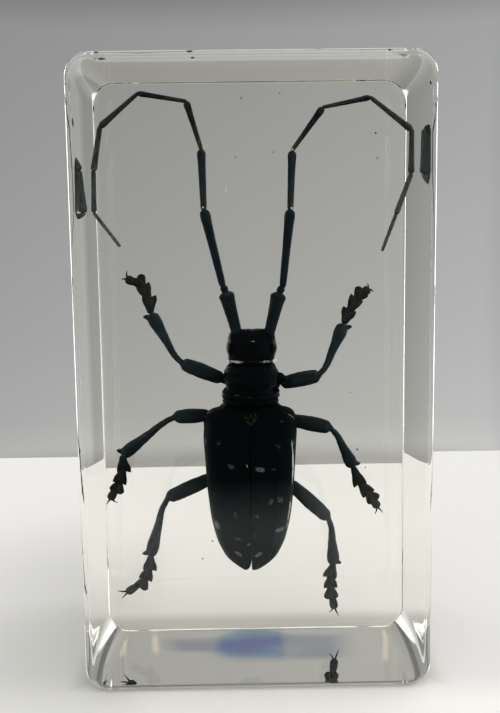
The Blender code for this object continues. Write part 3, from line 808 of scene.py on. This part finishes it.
def pads(start, end, index):
    """One foot joint: a stalk, and two flat pads that part from its root and turn outwards."""
    along = unit(end - start)
    across = unit(np.cross(along, (0, 1, 0)))
    yield skin(straight(start, end, FOOT_PROFILE, columns=20, rows=24), brown_edge=0.0)
    profile = ROUND_PAD if index == 2 else POINTED_PAD
    for side in (-1, 1):
        root = start + across * side * 0.10
        tip = end + along * PAD_REACH + across * side * (ROUND_SPREAD if index == 2 else PAD_SPREAD)
        bow = end - along * 0.30 + across * side * 0.38
        pad = swept((root, bow, tip), profile, columns=24, rows=36)
        share = ((pad - root) @ (tip - root)) / ((tip - root) @ (tip - root))
        yield skin(push(pad, 0.015 * waves(pad, 0.4, index)), brown_edge=np.clip(share * 1.6 - 0.6, 0, 1))


def leg_skins(leg, seed):
    """Every joint of one leg, from hip to claws."""
    trochanter, knee, ankle, claw_end = (
        np.array(leg[key]) for key in ("trochanter", "knee", "ankle", "claw_end"))
    shin, length = unit(ankle - knee), np.linalg.norm(ankle - knee)
    thigh_end = knee + unit(knee - trochanter) * 0.25
    hip = straight(leg["hip"], trochanter, HIP_PROFILE)
    thigh = straight(trochanter, thigh_end, THIGH_PROFILE, rows=60, columns=36)
    onward = unit((knee - trochanter) - shin * ((knee - trochanter) @ shin))
    below_knee = knee + shin * length * 0.14 + onward * KNEE_BOW
    half_way = knee + shin * length * 0.5 + onward * KNEE_BOW * 0.7
    shin_grid = swept((knee, below_knee, half_way, ankle + shin * 0.1), SHIN_PROFILE, rows=70, columns=32)
    yield skin(push(hip, 0.03 * waves(hip, 0.8, seed)))
    pitted = 0.012 * pits(thigh[..., 0], thigh[..., 2], 0.24, seed)
    yield skin(push(thigh, 0.03 * waves(thigh, 1.0, seed) - pitted))
    yield skin(push(shin_grid, 0.03 * waves(shin_grid, 0.9, seed + 1)))
    yield skin(ball(knee, (0.42, 0.42, 0.42), 16, 20))
    outwards = unit(np.cross(shin, (0, 1, 0)))
    outwards *= np.sign(ankle[0] * outwards[0])
    spur_root = ankle - shin * 0.35 + outwards * 0.30
    spur_tip = ankle + shin * 0.30 + outwards * (0.70 + leg["spur"])
    yield skin(straight(spur_root, spur_tip, SPUR_PROFILE, columns=20, rows=24))
    start = ankle + shin * 0.1
    for index, place in enumerate(leg["lobes"]):
        end = np.array(place)
        yield from pads(start, end, index)
        start = end - unit(end - start) * (0.9 if index == 2 else 0.3)
    yield skin(straight(start, claw_end, CLAW_JOINT_PROFILE, columns=24, rows=30))
    for tip in leg["claws"]:
        root = claw_end * 0.85 + start * 0.15
        bow = (root + np.array(tip)) / 2 + unit(claw_end - start) * 0.16
        yield skin(swept((root, bow, tip), CLAW_PROFILE, columns=14, rows=24))


def leg_material():
    """Blue-black, with thin brown where the pads let light through."""
    made, tree, shader, black = chitin(
        "leg_black", (0.056, 0.072, 0.084), (0.086, 0.104, 0.118), 6500.0, 2400.0, 0.00005, 0.5)
    paint(tree, shader, mark_value(tree, "brown_edge"), black, (0.085, 0.070, 0.048))
    return made


LEG_BLACK = leg_material()
for number, (name, leg) in enumerate(LEGS.items()):
    piece(name + "_leg", list(leg_skins(leg, 40 + number)), LEG_BLACK)

# Painted highlights on air films
# Where the resin drew away from the shell as it set, a film of air shines like silver by reflection. Here
# thin strips stand in for it with a near-white painted highlight: at the neck, along the wing cases'
# margins, on the collar, and as dots at the antenna joints.
FILM_THICKNESS = 0.02
NECK_FILM = dict(y=-0.55, z=38.02, half_width=3.0, half_depth=3.42, shift=0.08, points=160)


def highlight_film_material():
    """Painted highlight: bright silver-white broken by dark gaps."""
    made, tree, shader = material("painted_highlight_film", 0.25, 0.6)
    broken = maths(tree, "MULTIPLY", noise(tree, 1500.0, 3.0), mark_value(tree, "shine"))
    paint(tree, shader, between(tree, broken, 0.15, 0.6), (0.010, 0.011, 0.013), (0.95, 0.96, 0.98))
    return made


def ribbon(middle, across, out, half_width, shine):
    """A thin closed strip along a line: flat ellipses with their width across and their thickness out."""
    turn = 2 * np.pi * np.arange(12) / 12
    ring = half_width[:, None, None] * across[:, None] * np.cos(turn)[:, None]
    ring = ring + FILM_THICKNESS * out[:, None] * np.sin(turn)[:, None]
    return skin(middle[:, None] + ring, shine=shine[:, None])


def laid_on(surface, line, half_width, shine):
    """A film with a painted highlight along a line of x, z places, on the side of a surface that faces the
    camera.
    """
    count = 60
    line = np.asarray(line, float)
    steps = np.concatenate([[0], np.cumsum(np.linalg.norm(np.diff(line, axis=0), axis=1))])
    x, z = through(np.column_stack([steps, line]), np.linspace(0, 1, count))[:, 1:].T
    near = surface[surface[..., 1] < np.median(surface[..., 1])]
    off = np.hypot(near[:, 0] - x[:, None], near[:, 2] - z[:, None])
    y = near[np.argmin(off, axis=1), 1]
    y = np.convolve(np.pad(y, 4, mode="edge"), np.ones(9) / 9, mode="valid") - 0.03
    middle = np.stack([x, y, z], axis=-1)
    along = unit(np.gradient(middle, axis=0))
    across = unit(np.cross(along, (0.0, -1.0, 0.0)))
    ends = np.sin(np.linspace(0.08, np.pi - 0.08, count)) ** 0.5
    return ribbon(middle, across, np.cross(across, along), half_width * ends, shine * ends)


def neck_film():
    """A painted highlight half way round the neck in the gap between head and pronotum, brightest at three
    places.
    """
    count = NECK_FILM["points"]
    turn = np.linspace(np.pi * 1.02, np.pi * 1.98, count)
    x = NECK_FILM["half_width"] * power(np.cos(turn), 2 / BODY_SQUARENESS)
    x += centre_x(NECK_FILM["z"]) + NECK_FILM["shift"]
    y = NECK_FILM["y"] + NECK_FILM["half_depth"] * power(np.sin(turn), 2 / BODY_SQUARENESS)
    middle = np.stack([x, y, np.full(count, NECK_FILM["z"])], axis=-1)
    out = np.stack([np.cos(turn), np.sin(turn), np.zeros(count)], axis=-1)
    shine = 0.25 + 0.6 * bump(x + 2.2, 0.75) + 0.5 * bump(x - 1.35, 0.55) + 1.4 * bump(x - 2.6, 0.35)
    half_width = 0.17 * (0.55 + 0.45 * np.clip(shine, 0, 1))
    return ribbon(middle, np.tile((0.0, 0.0, 1.0), (count, 1)), out, half_width, shine)


# Lines of x, z places, with half width and painted shine.
CASE_FILMS = {
    "left": (
        (((-6.00, 31.60), (-5.45, 32.00), (-4.60, 32.22)), 0.04, 0.5),
        (((-1.07, 25.98), (-0.96, 25.45)), 0.05, 0.8),
    ),
    "right": (
        (((3.05, 32.00), (3.97, 31.66), (4.55, 31.25), (4.86, 30.85)), 0.05, 0.8),
        (((4.36, 28.6), (4.52, 26.4), (4.50, 24.2), (4.40, 22.8)), 0.10, 1.3),
        (((4.30, 21.7), (4.02, 19.4), (3.66, 17.2)), 0.08, 0.9),
    ),
}
# The same for the painted highlights on the collar.
COLLAR_FILMS = (
    (((-2.55, 34.02), (-1.75, 34.12)), 0.045, 0.6),
    (((-1.31, 34.00), (-0.6, 33.84), (0.40, 33.86)), 0.04, 0.4),
)
# Places of the dots of painted glint at the antenna joints.
ANTENNA_DOTS = ((-5.55, -1.15, 63.25), (-5.75, -2.2, 56.3), (4.85, -1.1, 62.9), (4.6, -2.2, 56.1))
films = [neck_film()]
films += [laid_on(CASE_SURFACES[side], *film) for side, lines in CASE_FILMS.items() for film in lines]
films += [laid_on(pronotum, *film) for film in COLLAR_FILMS]
for place in ANTENNA_DOTS:
    films.append(skin(ball(place, (0.15, 0.15, 0.15), 12, 16), shine=1.3))
piece("painted_highlight_films", films, highlight_film_material())

# Resin block
# Clear casting resin, slightly warm in its depth, poured over the beetle in a mould in two pours and
# polished, with its corners and edges rounded. It has no other holder and stands on its end.
BLOCK_WIDTH, BLOCK_DEPTH, BLOCK_HEIGHT = 40.5, 26.0, 73.0
CORNER_RADIUS = 2.7
FRONT_EDGE_RADIUS, BACK_EDGE_RADIUS = 1.0, 0.16
# The sides belly out from the polishing, and draw in towards the back by the taper of the mould.
SIDE_BELLY, SIDE_TAPER, TOP_BELLY, TOP_TAPER = 0.5, 0.5, 0.4, 0.9
RESIN_IOR = 1.54


def block_outline(inset, y, corner_points=14, side_points=30):
    """The block's outline at a depth: straight sides and quarter-circle corners, drawn in by the inset."""
    back_share = y / BLOCK_DEPTH + 0.5
    belly = 1 - (2 * y / BLOCK_DEPTH) ** 2
    half_width = BLOCK_WIDTH / 2 + SIDE_BELLY * belly - SIDE_TAPER * back_share
    top = BLOCK_HEIGHT + TOP_BELLY * belly - TOP_TAPER * back_share - CORNER_RADIUS
    radius = CORNER_RADIUS - inset
    reach = half_width - CORNER_RADIUS
    centres = ((reach, top), (-reach, top), (-reach, CORNER_RADIUS), (reach, CORNER_RADIUS))
    corner = np.linspace(0, np.pi / 2, corner_points)
    arcs = []
    for quarter, (x, z) in enumerate(centres):
        angle = corner + quarter * np.pi / 2
        arcs.append(np.stack([x + radius * np.cos(angle), z + radius * np.sin(angle)], axis=-1))
    rows = []
    for arc, following in zip(arcs, arcs[1:] + arcs[:1]):
        share = (1 - np.cos(np.linspace(0, np.pi, side_points + 2)[1:-1])) / 2
        rows += [arc, arc[-1] + (following[0] - arc[-1]) * share[:, None]]
    return np.vstack(rows)


def block_grid():
    """Rings from the middle of the front face over its rounded edge, down the sides and in at the back."""
    half = BLOCK_DEPTH / 2
    rings = []

    def ring(inset, y, share=1.0):
        outline = block_outline(inset, y)
        middle = np.array((0.0, BLOCK_HEIGHT / 2))
        outline = middle + (outline - middle) * share
        rings.append(np.stack([outline[:, 0], np.full(len(outline), y), outline[:, 1]], axis=-1))

    for share in (0.02, 0.3, 0.6, 0.85, 0.97, 0.995):
        ring(FRONT_EDGE_RADIUS, -half, share)
    for angle in np.linspace(0, np.pi / 2, 14):
        ring(FRONT_EDGE_RADIUS * (1 - math.sin(angle)), -half + FRONT_EDGE_RADIUS * (1 - math.cos(angle)))
    for share in np.linspace(0.01, 0.99, 22):
        ring(0.0, (-half + FRONT_EDGE_RADIUS) * (1 - share) + (half - BACK_EDGE_RADIUS) * share)
    for angle in np.linspace(np.pi / 2, 0, 10):
        ring(BACK_EDGE_RADIUS * (1 - math.sin(angle)), half - BACK_EDGE_RADIUS * (1 - math.cos(angle)))
    for share in (0.995, 0.97, 0.85, 0.6, 0.3, 0.02):
        ring(BACK_EDGE_RADIUS, half, share)
    return np.array(rings)


def resin_material():
    """Clear resin: plain transmission with absorption in its depth, and faint waves left by polishing."""
    made, tree, shader = material("clear_resin", 0.0, 0.5, Transmission_Weight=1.0, IOR=RESIN_IOR)
    shader.inputs["Base Color"].default_value = (1.0, 1.0, 1.0, 1.0)
    roughen(tree, shader, noise(tree, 60.0, 1.0), 0.10, 0.0004)
    depth = node(tree, "ShaderNodeVolumeAbsorption", Color=(0.97, 0.965, 0.86, 1.0), Density=18.0)
    tree.links.new(depth.outputs[0], tree.nodes["Material Output"].inputs["Volume"])
    return made


CLEAR_RESIN = resin_material()
piece("resin_block", [skin(block_grid())], CLEAR_RESIN, ("resin_front", "resin_back"))

# Dust in the resin
# Specks of lint and grit that fell in while the resin was poured, dirt in the chips along the front
# rim, and one pale fibre.
SPECK_GREY, tree, shader = material("dust_speck", 0.8, 0.3)
paint(tree, shader, noise(tree, 1200.0), (0.14, 0.14, 0.13), (0.34, 0.33, 0.31))
# Places and radii.
SPECKS = (
    (-1.1, -6.0, 68.4, 0.10), (-1.9, -5.0, 61.9, 0.08), (2.5, -4.0, 62.5, 0.08), (14.9, 2.0, 64.9, 0.10),
    (15.2, 3.0, 62.0, 0.10), (3.4, 0.0, 69.5, 0.07), (12.6, 0.0, 26.6, 0.09), (13.7, 1.0, 24.1, 0.08),
    (-5.3, -5.8, 16.6, 0.11), (-6.5, -5.8, 14.4, 0.09), (11.9, 2.0, 33.5, 0.08),
)
# Chips along the front rim: places, half widths and half heights.
RIM_CHIPS = (
    (-16.6, -12.75, 72.72, 0.26, 0.09), (-16.0, -12.9, 72.05, 0.42, 0.10), (-6.6, -12.7, 72.75, 0.34, 0.10),
    (-6.3, -12.9, 72.05, 0.26, 0.08), (14.9, -12.8, 72.70, 0.24, 0.08),
    (-20.05, -12.7, 67.6, 0.09, 0.36), (-19.35, -12.9, 65.4, 0.08, 0.50), (19.95, -12.7, 66.9, 0.08, 0.30),
)
random = np.random.default_rng(11)
specks = []
for *place, half_width, half_height in RIM_CHIPS:
    chip = ball(place, (half_width, 0.05, half_height), 16, 20)
    specks.append(skin(push(chip, 0.05 * waves(chip, 0.2, 6))))
for *place, radius in SPECKS:
    speck = ball(place, radius * random.uniform(0.7, 1.5, 3), 10, 12)
    specks.append(skin(push(speck, radius * 0.4 * waves(speck, 0.2, 5))))
piece("dust_specks", specks, SPECK_GREY, ())
FIBRE_PATH = ((-3.1, -6.0, 58.6), (-3.0, -6.1, 58.2), (-2.9, -6.0, 57.7))
FIBRE_PROFILE = ((0.0, 0.05, 0.05), (0.5, 0.09, 0.08), (1.0, 0.04, 0.04))
FIBRE_WHITE, tree, shader = material("pale_fibre", 0.6, 0.3)
paint(tree, shader, noise(tree, 1500.0), (0.75, 0.74, 0.70), (0.95, 0.95, 0.92))
piece("pale_fibre", [skin(swept(FIBRE_PATH, FIBRE_PROFILE))], FIBRE_WHITE, ())

# Table and light
# A pale matt table that ends a hand's breadth behind the block and in front of it, in soft daylight
# from above and from the right.
TABLE_BACK, TABLE_FRONT, TABLE_SIDE = 0.092, -0.0955, 1.2
TABLE_DROP = 0.0001
SHADE_BACK, SHADE_REACH = 0.003, 0.003


def smooth_share(tree, value, low, high, most=1.0):
    """Rises smoothly from 0 at the low value to the most at the high one."""
    return between(tree, value, low, high, 0.0, most, "SMOOTHSTEP")


vertices = [
    (-TABLE_SIDE, TABLE_FRONT, -TABLE_DROP), (TABLE_SIDE, TABLE_FRONT, -TABLE_DROP),
    (TABLE_SIDE, TABLE_BACK, -TABLE_DROP), (-TABLE_SIDE, TABLE_BACK, -TABLE_DROP),
]
mesh = bpy.data.meshes.new("table")
mesh.from_pydata(vertices, [], [(0, 1, 2, 3)])
TABLE_PALE, tree, shader = material("table_pale", 0.6, 0.3)
axes = node(tree, "ShaderNodeSeparateXYZ")
tree.links.new(node(tree, "ShaderNodeTexCoord").outputs["Object"], axes.inputs[0])
table_tone = blend_colours(tree, noise(tree, 14.0, 3.0), (0.785, 0.77, 0.745), (0.825, 0.815, 0.795))
# Painted light right in front of the block, and painted shade at the table's own near edge.
for low, high, tone in ((-0.010, -0.016, (0.95, 0.93, 0.89)), (-0.070, -0.0955, (0.12, 0.12, 0.11))):
    table_tone = blend_colours(tree, between(tree, axes.outputs["Y"], low, high), table_tone, tone)
# Painted shadow: softly darker to the left of the block, away from the window.
shade = smooth_share(tree, axes.outputs["X"], -0.062, -0.026)
for axis, low, high in (("X", -0.010, -0.020), ("Y", -0.034, -0.006), ("Y", 0.060, 0.022)):
    shade = maths(tree, "MULTIPLY", shade, smooth_share(tree, axes.outputs[axis], low, high))
table_tone = blend_colours(tree, shade, table_tone, (0.66, 0.655, 0.63))
# The block's own shade: full under it, gone 3 mm out, and set 3 mm back.
outside = []
for axis, middle, size in (("X", 0.0, BLOCK_WIDTH), ("Y", SHADE_BACK, BLOCK_DEPTH)):
    away = maths(tree, "ABSOLUTE", maths(tree, "SUBTRACT", axes.outputs[axis], middle))
    outside.append(maths(tree, "SUBTRACT", away, size / 2 * MM))
shade = smooth_share(tree, maths(tree, "MAXIMUM", *outside), SHADE_REACH, -0.001, 0.6)
table_tone = blend_colours(tree, shade, table_tone, (0.36, 0.35, 0.31))
tree.links.new(table_tone, shader.inputs["Base Color"])
mesh.materials.append(TABLE_PALE)
table = bpy.data.objects.new("table", mesh)
bpy.context.scene.collection.objects.link(table)
table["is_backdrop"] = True

# The room, by direction: a pale wall behind, grey sides, a dark stretch behind the camera, a bright
# ceiling, and a wide soft window high on the right.
WORLD = bpy.data.worlds.new("soft_room")
bpy.context.scene.world = WORLD
WORLD.use_nodes = True
tree = WORLD.node_tree
background = tree.nodes["Background"]
direction = node(tree, "ShaderNodeTexCoord").outputs["Generated"]
axes = node(tree, "ShaderNodeSeparateXYZ", [("Vector", direction)])


def ramp(share, stops):
    """A colour by a share from 0 to 1. Stops are (share, colour)."""
    made = node(tree, "ShaderNodeValToRGB", [("Fac", share)])
    elements = made.color_ramp.elements
    while len(elements) < len(stops):
        elements.new(0.5)
    for element, (place, colour) in zip(elements, stops):
        element.position = place
        element.color = (*colour, 1.0)
    return made.outputs["Color"]


def by_height(*stops):
    """Grey by the sine of the elevation. Stops are (sine, grey, warmth); warmth takes blue away."""
    share = between(tree, axes.outputs["Z"], -0.35, 1.0)
    return ramp(share, [
        ((sine + 0.35) / 1.35, (grey, grey * (1 - 0.3 * warmth), grey * (1 - warmth)))
        for sine, grey, warmth in stops
    ])


def stretch(axis, low, high, soft):
    """1 between the low and the high value of an axis, with soft edges."""
    rise = smooth_share(tree, axes.outputs[axis], low - soft, low + soft)
    fall = smooth_share(tree, axes.outputs[axis], high + soft, high - soft)
    return maths(tree, "MULTIPLY", rise, fall)


def soft_box(across, up):
    """1 inside a soft-edged rectangle of directions. Each side is (low, high, soft)."""
    return maths(tree, "MULTIPLY", stretch("X", *across), stretch("Z", *up))


behind = by_height(
    (-0.34, 0.34, 0.04), (-0.265, 0.36, 0.04), (-0.248, 0.50, 0.02), (-0.215, 0.445, 0.01),
    (-0.12, 0.40, 0.0), (-0.03, 0.375, 0.0), (0.21, 0.315, -0.02), (0.27, 0.17, 0.05),
    (0.40, 0.17, 0.05), (0.43, 0.35, 0.05), (0.52, 0.33, 0.05), (0.66, 0.85, 0.0), (1.0, 1.5, 0.0),
)
sides = by_height((-0.35, 0.42, 0.0), (0.0, 0.40, 0.0), (0.40, 0.45, 0.0), (0.65, 1.0, 0.0), (1.0, 1.5, 0.0))
front = by_height(
    (-0.35, 0.12, 0.0), (0.0, 0.10, 0.0), (0.28, 0.14, 0.0), (0.48, 0.9, 0.03), (0.70, 1.6, 0.0),
    (1.0, 1.5, 0.0),
)
room = blend_colours(tree, smooth_share(tree, axes.outputs["Y"], 0.0, 0.5), sides, behind)
room = blend_colours(tree, smooth_share(tree, axes.outputs["Y"], -0.30, -0.80), room, front)
to_window = node(tree, "ShaderNodeVectorMath", [(0, direction)], operation="DOT_PRODUCT")
to_window.inputs[1].default_value = (0.82, 0.05, 0.57)
window = smooth_share(tree, to_window.outputs["Value"], 0.76, 0.99)
room = blend_colours(tree, window, room, (2.3, 2.28, 2.24))
# A blue screen high on the far wall, which the foot of the block mirrors as a soft band: its pale
# stretch, its bright middle in bands from teal over violet to teal, and warm gleams beside it.
WALL_LIGHTS = [
    ((-0.080, 0.105, 0.020), (0.4450, 0.4595, 0.003), (0.225, 0.236, 0.27)),
    ((-0.028, 0.042, 0.007), (0.4435, 0.4610, 0.0028), (0.17, 0.235, 0.28)),
    ((-0.028, 0.042, 0.007), (0.4478, 0.4575, 0.0028), (0.13, 0.145, 0.26)),
]
for middle, half_width, top in ((-0.131, 0.002, 0.464), (-0.096, 0.0025, 0.463), (0.150, 0.002, 0.464)):
    across = (middle - half_width, middle + half_width, 0.004)
    WALL_LIGHTS.append((across, (0.440, top, 0.004), (0.62, 0.56, 0.46)))
for across, up, colour in WALL_LIGHTS:
    room = blend_colours(tree, soft_box(across, up), room, colour)
# Tall pale curtains on the left and right behind the block, outside the picture, which the rims catch.
far_side = smooth_share(tree, axes.outputs["Y"], 0.3, 0.5)
for low, high, brightness in ((-0.84, -0.55, 4.4), (0.53, 0.74, 2.0)):
    curtain = maths(tree, "MULTIPLY", soft_box((low, high, 0.03), (-0.30, 0.40, 0.06)), far_side)
    room = blend_colours(tree, curtain, room, (brightness, brightness, 0.98 * brightness))
tree.links.new(room, background.inputs["Color"])
# The wall is lighter to the right, as far as the picture goes.
stops = [(share, (grey,) * 3) for share, grey in ((0.0, 0.78), (0.77, 1.12), (0.84, 0.82), (1.0, 0.9))]
wall_light = ramp(between(tree, axes.outputs["X"], -0.5, 0.5), stops)
tree.links.new(wall_light, background.inputs["Strength"])

# Camera
# At the photograph's height and distance: 108 mm in front of the block's middle plane, looking down
# by 7 degrees, with the small upward shift of a cropped frame.
CAMERA_PLACE = (-0.001523, -0.10845, 0.054321)
CAMERA_PITCH, CAMERA_YAW, CAMERA_ROLL = (math.radians(angle) for angle in (7.002, 0.610, -0.727))
camera = bpy.data.cameras.new("photo_camera")
camera.sensor_width = 36.0
camera.lens = 43.64
camera.shift_y = -0.0372
camera.clip_start = 0.001
photo_camera = bpy.data.objects.new("photo_camera", camera)
bpy.context.scene.collection.objects.link(photo_camera)
turn = Matrix.Rotation(-CAMERA_YAW, 4, "Z") @ Matrix.Rotation(math.pi / 2 - CAMERA_PITCH, 4, "X")
turn = turn @ Matrix.Rotation(CAMERA_ROLL, 4, "Z")
photo_camera.matrix_world = Matrix.Translation(CAMERA_PLACE) @ turn
bpy.context.scene.camera = photo_camera
LOOK = bpy.context.scene.view_settings
LOOK.view_transform = "Standard"
LOOK.use_curve_mapping = True
# The photograph's tone: deep shadows, the rest as it is.
tone = LOOK.curve_mapping.curves[3]
for x, y in ((0.035, 0.009), (0.09, 0.06), (0.25, 0.25)):
    tone.points.new(x, y)
LOOK.curve_mapping.update()

bpy.context.view_layer.update()
low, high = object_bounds()
{"cad": [list(cad_low), list(cad_high)], "visual": [list(low), list(high)]}
